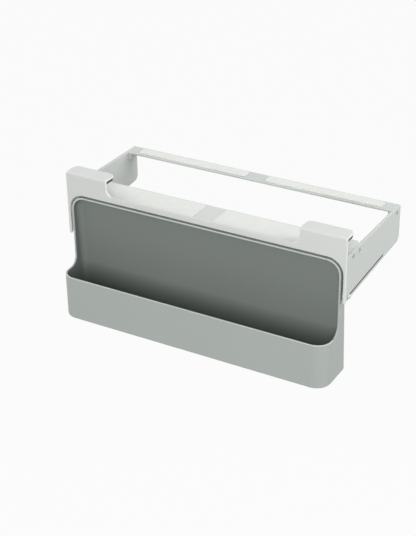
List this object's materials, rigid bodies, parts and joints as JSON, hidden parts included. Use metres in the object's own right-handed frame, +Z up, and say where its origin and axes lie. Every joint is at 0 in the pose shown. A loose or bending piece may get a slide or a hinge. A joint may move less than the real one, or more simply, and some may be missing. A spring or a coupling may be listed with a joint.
{
  "type": "under-shelf spice rack",
  "caption": "Rack for the underside of a shelf: a hooked front frame and slotted cheeks carry a deep tray that hangs on pins, swings up and slides back like a drawer.",
  "frame": {"origin": "middle of the gripped board's lower front corner, on the back face of the front frame's bar", "axes": "+X to the right along the board's edge, +Y to the back under the board, +Z up"},
  "size_m": [0.3654, 0.1812, 0.1749],
  "materials": {
    "frame_grey": "light grey moulded plastic, satin",
    "tray_grey": "grey-green moulded plastic, satin",
    "grip_rubber": "dark soft rubber",
    "sticky_foam": "white sticky foam",
    "screw_steel": "plated countersunk screws",
    "pin_coated": "light grey coated steel",
    "washer_nylon": "white nylon"
  },
  "bodies": {
    "bracket": {"front_frame": "frame_grey", "rear_tie": "frame_grey", "left_cheek": "frame_grey", "left_hook_pad": "grip_rubber", "left_front_sticky_pad": "sticky_foam", "left_rear_sticky_pad": "sticky_foam", "left_cheek_screw_1": "screw_steel", "left_cheek_screw_2": "screw_steel", "left_cheek_screw_3": "screw_steel", "right_cheek": "frame_grey", "right_hook_pad": "grip_rubber", "right_front_sticky_pad": "sticky_foam", "right_rear_sticky_pad": "sticky_foam", "right_cheek_screw_1": "screw_steel", "right_cheek_screw_2": "screw_steel", "right_cheek_screw_3": "screw_steel"},
    "carriage": {"left_pivot_pin": "pin_coated", "left_pin_washer": "washer_nylon", "right_pivot_pin": "pin_coated", "right_pin_washer": "washer_nylon"},
    "tray": {"tray": "tray_grey"}
  },
  "joints": [
    {"name": "carriage_slide", "type": "slide", "parent": "bracket", "child": "carriage", "axis": [0, 0.9976, 0.0698], "range_m": [0, 0.0955]},
    {"name": "tray_swing", "type": "hinge", "parent": "carriage", "child": "tray", "pos_m": [0, 0.0052, -0.05124], "axis": [-1, 0, 0], "range_deg": [0, 88]}
  ]
}
